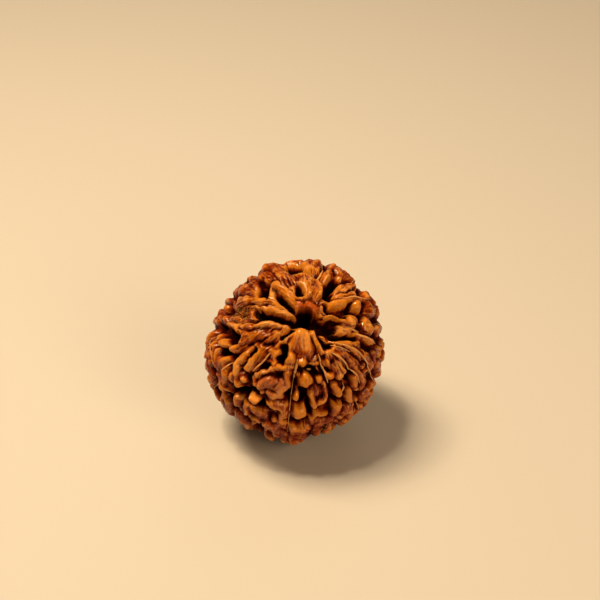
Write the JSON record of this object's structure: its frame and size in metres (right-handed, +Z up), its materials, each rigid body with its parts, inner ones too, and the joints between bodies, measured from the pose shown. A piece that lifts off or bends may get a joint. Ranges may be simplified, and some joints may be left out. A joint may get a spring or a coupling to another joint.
{
  "type": "rudraksha bead",
  "caption": "Round rudraksha seed bead: a warty, ridged seed stone with seams running from end to end and a cord hole through its axis.",
  "frame": {"origin": "middle of the flat rest spot, straight below the bead's middle", "axes": "+Z up from the rest spot; -Y towards the viewer of the picture; the hole's axis leans about 30 degrees from +Z towards the viewer"},
  "size_m": [0.0231, 0.0234, 0.0232],
  "materials": {
    "seed_stone": "oiled, semi-gloss on the crests, nearly black in the pits"
  },
  "bodies": {
    "root": {"bead": "seed_stone"}
  },
  "joints": []
}
